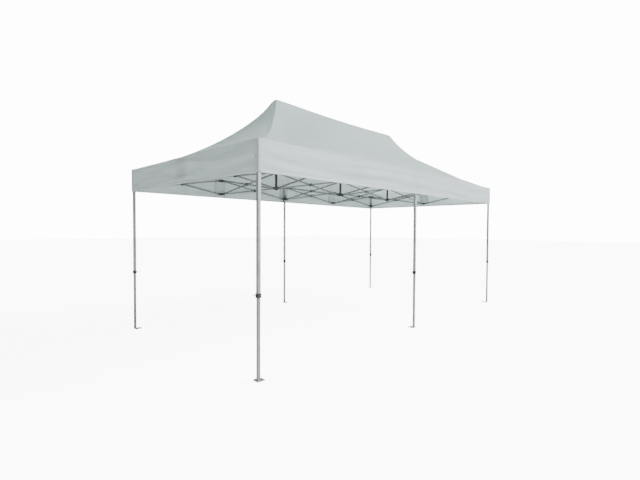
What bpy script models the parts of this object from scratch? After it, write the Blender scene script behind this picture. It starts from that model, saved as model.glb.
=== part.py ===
"""Pop up gazebo, 3 x 6 m, with six telescoping legs, a folding scissor truss on every side and a
hipped fabric roof over two peak masts.

Metres, +Z up. The origin is on the ground at the centre of the footprint, +X runs along the long
side and +Y from the front to the back. Grid point (i, j) is i scissor units along +X from the left
side and j units along +Y from the front: legs stand on even points and mid connectors between them.
"""

import math

import bmesh
import bpy
from mathutils import Matrix, Vector

NAME = "pop_up_gazebo"
MM = 0.001

# Scissor grid
UNIT = 1.475  # plan length of one scissor unit
LONG_UNITS = 4
SHORT_UNITS = 2
HALF_X = LONG_UNITS * UNIT / 2
HALF_Y = SHORT_UNITS * UNIT / 2

# Heights
TOP_PIVOT_Z = 2.320  # leg brackets and upper connectors
TRUSS_DEPTH = 0.230  # down to the sliders and lower connectors
LOW_PIVOT_Z = TOP_PIVOT_Z - TRUSS_DEPTH
OUTER_LEG_BOTTOM_Z = 0.838
EAVE_Z = 2.346
VALANCE_DEPTH = 0.322
PEAK_Z = 3.395

# Legs
OUTER_HALF = 0.0175
BORE_HALF = 0.0158
INNER_HALF = 0.0150
INNER_WALL = 0.0014
INNER_TOP_Z = 1.150
FOOT_THICK = 0.005
FOOT_SIZE = 0.095
PEG_HOLE_RADIUS = 0.006
PEG_INSET = 0.018
COLLAR_HALF = 0.0225
COLLAR_LOW, COLLAR_HIGH = 0.020, 0.024  # below and above the outer leg's end
PULL_PIN_RADIUS = 0.005
PULL_PIN_REACH = 0.040

# Scissor bars, which lie side by side: outer bars away from the centre, inner bars towards it
BAR_THICK = 0.012
BAR_HEIGHT = 0.024
BAR_GAP = 0.0005  # from the truss plane to the near face of a bar
LEG_PIVOT = 0.055  # from a leg's axis to its pivots
MID_PIVOT = 0.030  # from a connector's axis to its pivots
PIN_RADIUS = 0.0040
HOLE_RADIUS = 0.0047
PIN_SIDES = 8
RIVET_PROUD = 0.0015

# Brackets, sliders and connectors
EAR_THICK = 0.0035
EAR_GAP = 0.0008
EAR_PAST_PIVOT = 0.012
CONNECTOR_HEIGHT = 0.036
BRACKET_HALF = 0.0190
SLIDER_HALF = 0.0225
SLIDER_BORE_HALF = 0.0180
SLIDER_HEIGHT = 0.050
MID_HALF_ALONG = 0.0150
MID_HALF_ACROSS = 0.0190

# Peak masts
MAST_HALF = 0.011
HUB_HALF = 0.021
MAST_CAP_RADIUS = 0.022
MAST_CAP_THICK = 0.012
MAST_BELOW_HUB = 0.030
CAP_UNDER_PEAK = 0.006

# Canopy
CLOTH = 0.002
CLOTH_OUT = 0.0265  # from the leg lines to the outer face of the cloth
HIP_GAP = 0.004  # from each hip or the ridge to the edge of a slope
PEAK_FLAT = 0.032  # the cloth is level this close to the ridge

BAR_SPAN = UNIT - LEG_PIVOT - MID_PIVOT
BAR_LENGTH = math.hypot(BAR_SPAN, TRUSS_DEPTH)

LEGS = {
    (0, 0): "front_left",
    (2, 0): "front_middle",
    (4, 0): "front_right",
    (0, 2): "back_left",
    (2, 2): "back_middle",
    (4, 2): "back_right",
}
MIDS = {
    (1, 0): "front_left_mid",
    (3, 0): "front_right_mid",
    (1, 2): "back_left_mid",
    (3, 2): "back_right_mid",
    (0, 1): "left_mid",
    (4, 1): "right_mid",
}
MASTS = {(1, 1): "left", (3, 1): "right"}
TURN_OF_CORNER = {(0, 0): 0, (4, 0): 90, (4, 2): 180, (0, 2): 270}
# Each side: its first grid point, its step, its number of units and the way out of the gazebo
SIDES = {
    "front": ((0, 0), (1, 0), LONG_UNITS, (0, -1)),
    "back": ((0, 2), (1, 0), LONG_UNITS, (0, 1)),
    "left": ((0, 0), (0, 1), SHORT_UNITS, (-1, 0)),
    "right": ((4, 0), (0, 1), SHORT_UNITS, (1, 0)),
}
# The outer bars whose origin is their pivot at the leg; the others' is their pivot at the middle connector
BUILT_FROM_LEG = {"front_2", "front_3", "left_1", "right_1", "back_1", "back_4"}


def clear_scene():
    for obj in list(bpy.data.objects):
        bpy.data.objects.remove(obj)


def material(name, colour, roughness, metallic=0.0):
    made = bpy.data.materials.new(name)
    made.use_nodes = True
    shader = made.node_tree.nodes["Principled BSDF"]
    shader.inputs["Base Color"].default_value = (*colour, 1.0)
    shader.inputs["Roughness"].default_value = roughness
    shader.inputs["Metallic"].default_value = metallic
    return made


def grid_point(ij, z=0.0):
    return Vector((ij[0] * UNIT - HALF_X, ij[1] * UNIT - HALF_Y, z))


def loose_object(mesh):
    obj = bpy.data.objects.new("shape", mesh)
    bpy.context.scene.collection.objects.link(obj)
    return obj


def box(low, high):
    """A box between two opposite corners."""
    low, high = Vector(low), Vector(high)
    shape = bmesh.new()
    bmesh.ops.create_cube(shape, size=1.0)
    size = Matrix.Diagonal((*(high - low), 1.0))
    bmesh.ops.transform(shape, matrix=Matrix.Translation((low + high) / 2) @ size, verts=shape.verts)
    mesh = bpy.data.meshes.new("box")
    shape.to_mesh(mesh)
    shape.free()
    return loose_object(mesh)


def rod(start, end, radius, sides=PIN_SIDES):
    """A solid cylinder from start to end."""
    start, end = Vector(start), Vector(end)
    shape = bmesh.new()
    bmesh.ops.create_cone(
        shape,
        cap_ends=True,
        segments=sides,
        radius1=radius,
        radius2=radius,
        depth=(end - start).length,
    )
    turn = Vector((0, 0, 1)).rotation_difference(end - start).to_matrix().to_4x4()
    bmesh.ops.transform(shape, matrix=Matrix.Translation((start + end) / 2) @ turn, verts=shape.verts)
    mesh = bpy.data.meshes.new("rod")
    shape.to_mesh(mesh)
    shape.free()
    return loose_object(mesh)


def ring(centre, radius, sides=PIN_SIDES):
    """The points of a round outline."""
    angles = [2 * math.pi * (k + 0.5) / sides for k in range(sides)]
    return [(centre[0] + radius * math.cos(a), centre[1] + radius * math.sin(a)) for a in angles]


def extruded(outlines, thickness):
    """A plate from flat outlines, the first one outside and any others holes, centred on Z = 0."""
    curve = bpy.data.curves.new("outline", "CURVE")
    curve.dimensions = "2D"
    curve.fill_mode = "BOTH"
    curve.extrude = thickness / 2
    for outline in outlines:
        spline = curve.splines.new("POLY")
        spline.points.add(len(outline) - 1)
        for point, (x, y) in zip(spline.points, outline):
            point.co = (x, y, 0, 1)
        spline.use_cyclic_u = True
    drawn = loose_object(curve)
    depsgraph = bpy.context.evaluated_depsgraph_get()
    mesh = bpy.data.meshes.new_from_object(drawn.evaluated_get(depsgraph))
    bpy.data.objects.remove(drawn)
    shape = bmesh.new()
    shape.from_mesh(mesh)
    bmesh.ops.remove_doubles(shape, verts=shape.verts, dist=0.01 * MM)
    if len(outlines) == 1:  # each cap becomes one face, without the fill's slivers
        for height in (-thickness / 2, thickness / 2):
            level = [f for f in shape.faces if all(abs(v.co.z - height) < 0.1 * MM for v in f.verts)]
            bmesh.ops.dissolve_faces(shape, faces=level)
    bmesh.ops.recalc_face_normals(shape, faces=shape.faces)
    shape.to_mesh(mesh)
    shape.free()
    return loose_object(mesh)


def joined(base, adds=(), cuts=()):
    """The mesh of base with the shapes in adds welded on and then those in cuts taken out."""
    for operation, tools in (("UNION", adds), ("DIFFERENCE", cuts)):
        for tool in tools:
            boolean = base.modifiers.new(operation, "BOOLEAN")
            boolean.operation = operation
            boolean.solver = "EXACT"
            boolean.object = tool
    depsgraph = bpy.context.evaluated_depsgraph_get()
    mesh = bpy.data.meshes.new_from_object(base.evaluated_get(depsgraph))
    for shape in (base, *adds, *cuts):
        bpy.data.objects.remove(shape)
    return mesh


def shift(obj, offset):
    obj.data.transform(Matrix.Translation(offset))
    return obj


def place(collection, name, mesh, finish, matrix):
    """Adds a node. Copies of a repeated piece share one mesh."""
    if not mesh.materials:
        mesh.materials.append(finish)
    mesh.shade_smooth()
    mesh.set_sharp_from_angle(angle=math.radians(35))
    obj = bpy.data.objects.new(name, mesh)
    obj.matrix_world = matrix
    collection.objects.link(obj)
    return obj


# ---------------------------------------------------------------- scissor bars


def bar_outline():
    """A straight bar with round ends, from pivot to pivot along +X."""
    radius, arc = BAR_HEIGHT / 2, 4
    points = []
    for centre, first in ((BAR_LENGTH, -90), (0.0, 90)):
        for k in range(arc + 1):
            angle = math.radians(first + 180 * k / arc)
            points.append((centre + radius * math.cos(angle), radius * math.sin(angle)))
    return points


def bar_mesh(outer):
    """A bar with its first pivot at the origin, +X along it and +Y out of the gazebo."""
    centres = (0.0, BAR_LENGTH) if outer else (0.0, BAR_LENGTH / 2, BAR_LENGTH)
    plate = extruded([bar_outline(), *(ring((x, 0), HOLE_RADIUS) for x in centres)], BAR_THICK)
    plate.data.transform(Matrix.Rotation(math.radians(90), 4, "X"))
    side = 1 if outer else -1
    shift(plate, (0, side * (BAR_GAP + BAR_THICK / 2), 0))
    if not outer:
        return joined(plate)
    middle, reach = BAR_LENGTH / 2, BAR_GAP + BAR_THICK + RIVET_PROUD
    rivet = rod((middle, -reach, 0), (middle, BAR_GAP + BAR_THICK / 2, 0), PIN_RADIUS)
    return joined(plate, [rivet])


def bar_matrix(start, end, out):
    """Carries a bar's mesh so that it runs from start to end, with its +Y facing out."""
    along = (end - start).normalized()
    out = Vector((*out, 0))
    third = along.cross(out)
    turn = Matrix((along, out, third)).transposed().to_4x4()
    return Matrix.Translation(start) @ turn


def unit_pivots(leg, mid):
    """The leg end and the mid end of one scissor unit, at height 0."""
    leg_at, mid_at = grid_point(leg), grid_point(mid)
    along = (mid_at - leg_at).normalized()
    return leg_at + along * LEG_PIVOT, mid_at - along * MID_PIVOT


def add_bars(collection, finish):
    outer_mesh, inner_mesh = bar_mesh(True), bar_mesh(False)
    # an inner bar turns on the rivet at its middle, so its origin goes there
    inner_mesh.transform(Matrix.Translation((-BAR_LENGTH / 2, 0, 0)))
    up, low = Vector((0, 0, TOP_PIVOT_Z)), Vector((0, 0, LOW_PIVOT_Z))
    for side, (first, step, units, out) in SIDES.items():
        for k in range(units):
            ends = [(first[0] + step[0] * n, first[1] + step[1] * n) for n in (k, k + 1)]
            leg, mid = ends if ends[0] in LEGS else reversed(ends)
            leg_end, mid_end = unit_pivots(leg, mid)
            name = f"{side}_{k + 1}"
            start, end = leg_end + up, mid_end + low
            if name not in BUILT_FROM_LEG:
                start, end = end, start
            place(collection, f"{name}_outer_bar", outer_mesh, finish, bar_matrix(start, end, out))
            matrix = bar_matrix(leg_end + low, mid_end + up, out)
            matrix @= Matrix.Translation((BAR_LENGTH / 2, 0, 0))
            place(collection, f"{name}_inner_bar", inner_mesh, finish, matrix)


# ------------------------------------------------- brackets, sliders, connectors


def ear_spans(outer):
    """Where the two ears that hold a bar lie across the truss, as distances out of the gazebo."""
    near, far = BAR_GAP - EAR_GAP, BAR_GAP + BAR_THICK + EAR_GAP
    spans = [(near - EAR_THICK, near), (far, far + EAR_THICK)]
    return spans if outer else [(-b, -a) for a, b in reversed(spans)]


def quarter_turned(point, quarters):
    """A flat point turned about the origin by exact right angles."""
    x, y = point
    for _ in range(quarters):
        x, y = -y, x
    return x, y


def connector_outline(half_x, half_y, arms, reach, outer):
    """A rectangle with a pair of ears on each side named in arms, seen from above.

    arms maps a side, +x, +y, -x or -y, to the sign that turns "out of the gazebo" into a step
    to the left along that side as the outline runs anticlockwise.
    """
    points = []
    for side, quarter in (("+x", 0), ("+y", 1), ("-x", 2), ("-y", 3)):
        half, across = (half_x, half_y) if quarter % 2 == 0 else (half_y, half_x)
        local = [(half, -across)]
        if side in arms:
            spans = [sorted((arms[side] * a, arms[side] * b)) for a, b in ear_spans(outer)]
            for a, b in sorted(spans):
                local += [(half, a), (reach, a), (reach, b), (half, b)]
        points += [quarter_turned(p, quarter) for p in local]
    return points


def hinge_pins(arms, pivot, outer):
    """The pins across each pair of ears, let into both of them."""
    spans = ear_spans(outer)
    low, high = sum(spans[0]) / 2, sum(spans[1]) / 2
    pins = []
    for side, quarter in (("+x", 0), ("+y", 1), ("-x", 2), ("-y", 3)):
        if side in arms:
            pin = rod((pivot, arms[side] * low, 0), (pivot, arms[side] * high, 0), PIN_RADIUS)
            pin.data.transform(Matrix.Rotation(math.radians(90 * quarter), 4, "Z"))
            pins.append(pin)
    return pins


# Out of the gazebo is -Y for a straight piece, and -X and -Y for a corner piece
STRAIGHT_ARMS = {"+x": -1, "-x": 1}
CORNER_ARMS = {"+x": -1, "+y": 1}


def outer_leg_mesh(arms):
    """An outer leg with its top bracket, its lower collar and the housing of its pull pin on +Y."""
    outline = connector_outline(BRACKET_HALF, BRACKET_HALF, arms, LEG_PIVOT + EAR_PAST_PIVOT, True)
    bracket = shift(extruded([outline], CONNECTOR_HEIGHT), (0, 0, TOP_PIVOT_Z))
    pins = [shift(pin, (0, 0, TOP_PIVOT_Z)) for pin in hinge_pins(arms, LEG_PIVOT, True)]
    tube = box(
        (-OUTER_HALF, -OUTER_HALF, OUTER_LEG_BOTTOM_Z),
        (OUTER_HALF, OUTER_HALF, TOP_PIVOT_Z),
    )
    collar = box(
        (-COLLAR_HALF, -COLLAR_HALF, OUTER_LEG_BOTTOM_Z - COLLAR_LOW),
        (COLLAR_HALF, COLLAR_HALF, OUTER_LEG_BOTTOM_Z + COLLAR_HIGH),
    )
    housing = rod(
        (0, INNER_HALF, OUTER_LEG_BOTTOM_Z),
        (0, PULL_PIN_REACH, OUTER_LEG_BOTTOM_Z),
        PULL_PIN_RADIUS,
    )
    bore = box(
        (-BORE_HALF, -BORE_HALF, OUTER_LEG_BOTTOM_Z - 2 * COLLAR_LOW),
        (BORE_HALF, BORE_HALF, TOP_PIVOT_Z - CONNECTOR_HEIGHT / 2),
    )
    return joined(tube, [bracket, collar, housing, *pins], [bore])


def inner_leg_mesh(low, high, pegs):
    """An inner leg on its foot plate, which spans low to high, with a peg hole at each place in pegs."""
    tube = box((-INNER_HALF, -INNER_HALF, 0), (INNER_HALF, INNER_HALF, INNER_TOP_Z))
    plate = box((*low, 0), (*high, FOOT_THICK))
    reach = INNER_HALF - INNER_WALL
    bore = box((-reach, -reach, FOOT_THICK), (reach, reach, INNER_TOP_Z + FOOT_THICK))
    holes = [rod((x, y, -FOOT_THICK), (x, y, 2 * FOOT_THICK), PEG_HOLE_RADIUS) for x, y in pegs]
    return joined(tube, [plate], [bore, *holes])


def slider_mesh(arms):
    outline = connector_outline(SLIDER_HALF, SLIDER_HALF, arms, LEG_PIVOT + EAR_PAST_PIVOT, False)
    block = extruded([outline], CONNECTOR_HEIGHT)
    sleeve = box(
        (-SLIDER_HALF, -SLIDER_HALF, -SLIDER_HEIGHT / 2),
        (SLIDER_HALF, SLIDER_HALF, SLIDER_HEIGHT / 2),
    )
    bore = box(
        (-SLIDER_BORE_HALF, -SLIDER_BORE_HALF, -SLIDER_HEIGHT),
        (SLIDER_BORE_HALF, SLIDER_BORE_HALF, SLIDER_HEIGHT),
    )
    return joined(sleeve, [block, *hinge_pins(arms, LEG_PIVOT, False)], [bore])


def mid_mesh(outer):
    outline = connector_outline(
        MID_HALF_ALONG, MID_HALF_ACROSS, STRAIGHT_ARMS, MID_PIVOT + EAR_PAST_PIVOT, outer
    )
    block = extruded([outline], CONNECTOR_HEIGHT)
    return joined(block, hinge_pins(STRAIGHT_ARMS, MID_PIVOT, outer))


def turned(ij, z, degrees):
    return Matrix.Translation(grid_point(ij, z)) @ Matrix.Rotation(math.radians(degrees), 4, "Z")


def side_turn(ij):
    """The turn that carries a straight front piece to its own side."""
    if ij[1] == 0:
        return 0
    if ij[1] == SHORT_UNITS:
        return 180
    return 270 if ij[0] == 0 else 90


def add_legs(collection, aluminium, plastic):
    corner_leg, middle_leg = outer_leg_mesh(CORNER_ARMS), outer_leg_mesh(STRAIGHT_ARMS)
    near, far, half = -OUTER_HALF, FOOT_SIZE - OUTER_HALF, FOOT_SIZE / 2
    corner_foot = inner_leg_mesh((near, near), (far, far), [(far - PEG_INSET, far - PEG_INSET)])
    middle_pegs = [(side * (half - PEG_INSET), far - PEG_INSET) for side in (-1, 1)]
    middle_foot = inner_leg_mesh((-half, near), (half, far), middle_pegs)
    corner_slider, middle_slider = slider_mesh(CORNER_ARMS), slider_mesh(STRAIGHT_ARMS)
    for ij, name in LEGS.items():
        corner = ij in TURN_OF_CORNER
        turn = TURN_OF_CORNER[ij] if corner else side_turn(ij)
        leg = corner_leg if corner else middle_leg
        foot = corner_foot if corner else middle_foot
        slider = corner_slider if corner else middle_slider
        place(collection, f"outer_leg_{name}", leg, aluminium, turned(ij, 0, turn))
        place(collection, f"inner_leg_{name}", foot, aluminium, turned(ij, 0, turn))
        place(collection, f"slider_{name}", slider, plastic, turned(ij, LOW_PIVOT_Z, turn))


def add_mids(collection, plastic):
    upper, lower = mid_mesh(False), mid_mesh(True)
    for ij, name in MIDS.items():
        place(collection, f"upper_connector_{name}", upper, plastic, turned(ij, TOP_PIVOT_Z, side_turn(ij)))
        place(collection, f"lower_connector_{name}", lower, plastic, turned(ij, LOW_PIVOT_Z, side_turn(ij)))


# ------------------------------------------------------------------ peak masts


def mast_mesh():
    """A square mast in its lower hub, with a round cap for the cloth to rest on."""
    top = PEAK_Z - CAP_UNDER_PEAK - LOW_PIVOT_Z
    tube = box((-MAST_HALF, -MAST_HALF, -MAST_BELOW_HUB), (MAST_HALF, MAST_HALF, top - MAST_CAP_THICK / 2))
    cap = rod((0, 0, top - MAST_CAP_THICK), (0, 0, top), MAST_CAP_RADIUS, 16)
    arms = {"+x": -1, "-x": 1, "+y": 1, "-y": -1}
    outline = connector_outline(HUB_HALF, HUB_HALF, arms, MID_PIVOT + EAR_PAST_PIVOT, True)
    hub = extruded([outline], CONNECTOR_HEIGHT)
    return joined(hub, [tube, cap])


def add_masts(collection, finish):
    mesh = mast_mesh()
    for ij, name in MASTS.items():
        place(collection, f"peak_mast_{name}", mesh, finish, turned(ij, LOW_PIVOT_Z, 0))


# ---------------------------------------------------------------------- canopy


def hip_rise(t):
    """Height along a hip from the eave, 0, to the peak, 1: slack low down and steep at the top."""
    return 0.43 * t + 0.49 * t**2.5 + 0.08 * t**16


def middle_rise(t):
    """Height along the middle of a long slope, which the ridge holds almost flat."""
    return 0.88 * t + 0.12 * t**2


def roof_height(inset, from_hip):
    """The cloth's height at a distance in from its eave and a distance along the eave from its hip."""
    t = min(inset / (HALF_Y + CLOTH_OUT - PEAK_FLAT), 1.0)
    near_hip = math.exp(-((from_hip / 0.75) ** 2))
    rise = near_hip * hip_rise(t) + (1 - near_hip) * middle_rise(t)
    return EAVE_Z + (PEAK_Z - EAVE_Z) * rise


SLOPE_ROWS = (0.0, 0.10, 0.35, 0.60, 0.78, 0.90, 0.96)


def slope_mesh(half_length, triangle):
    """A valance and the slope above it, for an eave of that half length, facing -Y.

    The eave runs along X at Y = 0 and the slope rises towards +Y. On a triangular end the two
    hips meet; on a long side they end at the ridge.
    """
    depth = HALF_Y + CLOTH_OUT
    level = depth - PEAK_FLAT
    insets = [level * t for t in SLOPE_ROWS] + [level]
    insets.append(depth - (3 if triangle else 1) * HIP_GAP)
    columns = 6 if triangle else 8
    rows = []
    for inset, z in [(0.0, EAVE_Z - VALANCE_DEPTH), *((d, None) for d in insets)]:
        half = half_length - inset - HIP_GAP
        row = []
        for k in range(columns + 1):
            # closer columns towards the hips, where the cloth curves most
            share = math.sin(math.radians(90) * (2 * k / columns - 1))
            x = half * share
            from_hip = 0.0 if triangle else half_length - inset - abs(x)
            row.append((x, inset, roof_height(inset, from_hip) if z is None else z))
        rows.append(row)
    shape = bmesh.new()
    verts = [[shape.verts.new(p) for p in row] for row in rows]
    for lower, upper in zip(verts, verts[1:]):
        for k in range(columns):
            shape.faces.new((lower[k], lower[k + 1], upper[k + 1], upper[k]))
    mesh = bpy.data.meshes.new("slope")
    shape.to_mesh(mesh)
    shape.free()
    obj = loose_object(mesh)
    thicken = obj.modifiers.new("Cloth", "SOLIDIFY")
    thicken.thickness = CLOTH
    thicken.offset = -1.0
    depsgraph = bpy.context.evaluated_depsgraph_get()
    mesh = bpy.data.meshes.new_from_object(obj.evaluated_get(depsgraph))
    bpy.data.objects.remove(obj)
    return mesh


def add_canopy(collection, cloth):
    long_slope = slope_mesh(HALF_X + CLOTH_OUT, False)
    end_slope = slope_mesh(HALF_Y + CLOTH_OUT, True)
    eave_x, eave_y = HALF_X + CLOTH_OUT, HALF_Y + CLOTH_OUT
    for name, mesh, at, degrees in (
        ("front", long_slope, (0, -eave_y, 0), 0),
        ("back", long_slope, (0, eave_y, 0), 180),
        ("left", end_slope, (-eave_x, 0, 0), 270),
        ("right", end_slope, (eave_x, 0, 0), 90),
    ):
        turn = Matrix.Rotation(math.radians(degrees), 4, "Z")
        place(collection, f"canopy_{name}", mesh, cloth, Matrix.Translation(at) @ turn)


def main():
    clear_scene()
    collection = bpy.data.collections.new(NAME)
    bpy.context.scene.collection.children.link(collection)
    aluminium = material("aluminium", (0.62, 0.63, 0.64), 0.38, 0.9)
    plastic = material("black_plastic", (0.02, 0.02, 0.022), 0.5)
    cloth = material("white_polyester", (0.85, 0.86, 0.86), 0.85)
    add_legs(collection, aluminium, plastic)
    add_mids(collection, plastic)
    add_bars(collection, aluminium)
    add_masts(collection, aluminium)
    add_canopy(collection, cloth)


main()
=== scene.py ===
"""The looks of the pop up gazebo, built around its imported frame.

Metres, +Z up. The origin is on the ground at the centre of the footprint, +X runs along the long
side and +Y from the front to the back. Grid point (i, j) is i scissor units along +X from the left
side and j units along +Y from the front, as in part.py, whose dimensions are repeated here.
"""

import math

import bmesh
import bpy
from mathutils import Matrix, Vector, noise


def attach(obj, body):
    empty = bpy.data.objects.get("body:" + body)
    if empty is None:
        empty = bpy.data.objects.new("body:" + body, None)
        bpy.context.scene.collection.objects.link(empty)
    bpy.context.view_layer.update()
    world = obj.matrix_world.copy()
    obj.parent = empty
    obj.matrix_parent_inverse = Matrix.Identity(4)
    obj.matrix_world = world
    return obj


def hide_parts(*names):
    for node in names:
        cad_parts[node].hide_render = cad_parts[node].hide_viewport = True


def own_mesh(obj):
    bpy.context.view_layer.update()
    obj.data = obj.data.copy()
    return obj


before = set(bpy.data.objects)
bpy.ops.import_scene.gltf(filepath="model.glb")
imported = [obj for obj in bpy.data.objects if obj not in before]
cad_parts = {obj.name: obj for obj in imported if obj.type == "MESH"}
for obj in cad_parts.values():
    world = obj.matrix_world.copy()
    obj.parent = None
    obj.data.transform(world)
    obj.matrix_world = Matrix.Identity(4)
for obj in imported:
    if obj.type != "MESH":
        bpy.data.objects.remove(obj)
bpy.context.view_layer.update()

# Scissor grid and heights
UNIT = 1.475
HALF_X = 2 * UNIT
HALF_Y = UNIT
TOP_Z = 2.320
LOW_Z = 2.090
EAVE_Z = 2.346
VALANCE_DEPTH = 0.322
HEM_Z = EAVE_Z - VALANCE_DEPTH
PEAK_Z = 3.395

# Legs
OUTER_HALF = 0.0175
OUTER_BORE = 0.0158
OUTER_BOTTOM_Z = 0.838
OUTER_TOP_Z = TOP_Z + 0.008
INNER_HALF = 0.0150
INNER_BORE = 0.0136
INNER_TOP_Z = 1.150
FOOT_THICK = 0.005
FOOT_SIZE = 0.095
PEG_RADIUS = 0.006
PEG_INSET = 0.018  # from the foot's edges to a peg hole's centre
WELD_OUT, WELD_HEIGHT = 0.0028, 0.0022
HOLE_SHADE_RADIUS = 0.0042
HOLE_SHADE_HEIGHTS = [0.30 + 0.10 * k for k in range(5)]
COLLAR_HALF = 0.0225
COLLAR_DOWN, COLLAR_STEP, COLLAR_UP = -0.020, -0.0005, 0.024  # from the outer leg's lower end
COLLAR_BORE_LOW, COLLAR_BORE_HIGH = 0.0153, 0.0177
PIN_BOSS = (0.0215, 0.030, 0.009)  # from, to, radius, along the way of the pull pin
PIN_STEM = (0.0295, 0.041, 0.0045)
PULL_RING = (0.0195, 0.0026)  # the radii of the ring and of its wire
PULL_RING_OUT = 0.060
SCREW_UP, SCREW_OUT, SCREW_PROUD, SCREW_RADIUS = 0.014, 0.0222, 0.0022, 0.0035

# Scissor bars
BAR_THICK = 0.012
BAR_HEIGHT = 0.024
BAR_GAP = 0.0005
LEG_PIVOT = 0.055
MID_PIVOT = 0.030
BAR_LENGTH = math.hypot(UNIT - LEG_PIVOT - MID_PIVOT, TOP_Z - LOW_Z)
BAR_END = 0.040  # from a pivot to where its nylon end stops
BAR_LAP = 0.004  # how far the tube runs into that end
BAR_END_PROUD = 0.0006
BOSS_RADIUS, BOSS_DEPTH = 0.024, 0.007
NUT_RADIUS = 0.0065

# Brackets, sliders and connectors
EAR_THICK = 0.0035
EAR_GAP = 0.0008
EAR_PAST_PIVOT = 0.012
EAR_LAP = 0.003  # how far an ear's root is sunk in its block
EAR_CORNER = 0.009
BOLT_RADIUS, BOLT_PROUD = 0.0055, 0.0025
CONNECTOR_HEIGHT = 0.036
BRACKET_HALF, BRACKET_BORE = 0.0198, 0.0172
LID = 0.004
SLIDER_HEIGHT = 0.050
SLIDER_HALF, SLIDER_BORE = 0.0225, 0.0180
LEVER_OUT = 0.0262
LEVER_LONG, LEVER_SHORT = 0.0088, 0.0040
LEVER_LOW, LEVER_HIGH = 0.012, 0.080
MID_THIN, MID_WIDE = 0.0165, 0.0190
HUB_HALF, HUB_BORE = 0.021, 0.0125

# Peak masts and the middle post
MAST_HALF = 0.011
MAST_WALL = 0.84  # the bore as a share of the outside
SLEEVE_HALF, SLEEVE_BORE = 0.0145, 0.0112
MAST_FOOT_HALF = 0.0150
CAP_DOWN = 0.0180  # from the mast's top to the cap's underside
# heights and radii
CAP_PROFILE = ((0.0, 0.0150), (0.006, 0.0200), (0.012, 0.0220), (0.0155, 0.0200), (0.0172, 0.0120))

# Canopy
CLOTH = 0.0012
CLOTH_OUT = 0.0265
EAVE_X, EAVE_Y = HALF_X + CLOTH_OUT, HALF_Y + CLOTH_OUT
DEPTH = EAVE_Y  # from the eave in to the ridge
PEAK_FLAT = 0.032
HIP_REACH = 0.75  # how far from a hip its own curve shapes the cloth
RIDGE_SAG = 0.022
STRIP = 0.13  # from the eave to the line where the folding slopes hang
SEAM = 0.020
SEAM_PROUD = 0.0022
HEM = 0.024
SHADOW_TAPE_WIDTH = 0.045
PATCH_HALF = 0.11
WEBBING_HALF = 0.0125
WEBBING_OUT = 0.085  # from the middle of a patch
TRIM_THICK = 0.0009
EYELET = (0.0062, 0.0016)  # the radii of the ring and of its roll
EYELET_IN = 0.034
EYELET_DOWN = 0.174
LONG_COLUMNS, SHORT_COLUMNS = 128, 72
SLOPE_STEPS, VALANCE_STEPS = 40, 22

FRONT_ROW = (0, -HALF_Y, 0)
LEFT_ROW = (-HALF_X, 0, 0)

LEGS = {
    (0, 0): "front_left",
    (2, 0): "front_middle",
    (4, 0): "front_right",
    (0, 2): "back_left",
    (2, 2): "back_middle",
    (4, 2): "back_right",
}
MIDS = {
    (1, 0): "front_left_mid",
    (3, 0): "front_right_mid",
    (1, 2): "back_left_mid",
    (3, 2): "back_right_mid",
    (0, 1): "left_mid",
    (4, 1): "right_mid",
}
# the first grid point of each side, the step along it, its scissor pairs and the way out
SIDES = {
    "front": ((0, 0), (1, 0), 4, (0, -1)),
    "back": ((0, 2), (1, 0), 4, (0, 1)),
    "left": ((0, 0), (0, 1), 2, (-1, 0)),
    "right": ((4, 0), (0, 1), 2, (1, 0)),
}
X, Y, Z = Vector((1, 0, 0)), Vector((0, 1, 0)), Vector((0, 0, 1))
ORIGIN = (0, 0, 0)
ENDS = (("low", -1), ("high", 1))


# ------------------------------------------------------------------- materials

THREADS = 260.0  # the weave's bands in the wave texture's own units
STITCHES_PER_METRE = 220.0
STITCH_SHARE = 0.7  # of each stitch's length is thread
STITCH_HALF = 0.0007
THREAD_GREY = (0.42, 0.43, 0.43, 1)
CLOTH_WHITE = (0.745, 0.815, 0.835)
CLOTH_BEHIND = (0.76, 0.86, 0.83)
# painted shade: the patch cloth is darker than the canopy, for the light a doubled patch holds back
PATCH_SHADED_WHITE = (0.64, 0.70, 0.70)
# painted shade: the webbing is dark grey so it shows as the dark bands the patch edges cast through
# the cloth
WEBBING_SHADED_GREY = (0.56, 0.61, 0.61)
WEBBING_SHADED_BEHIND = (0.5, 0.56, 0.55)


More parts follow.
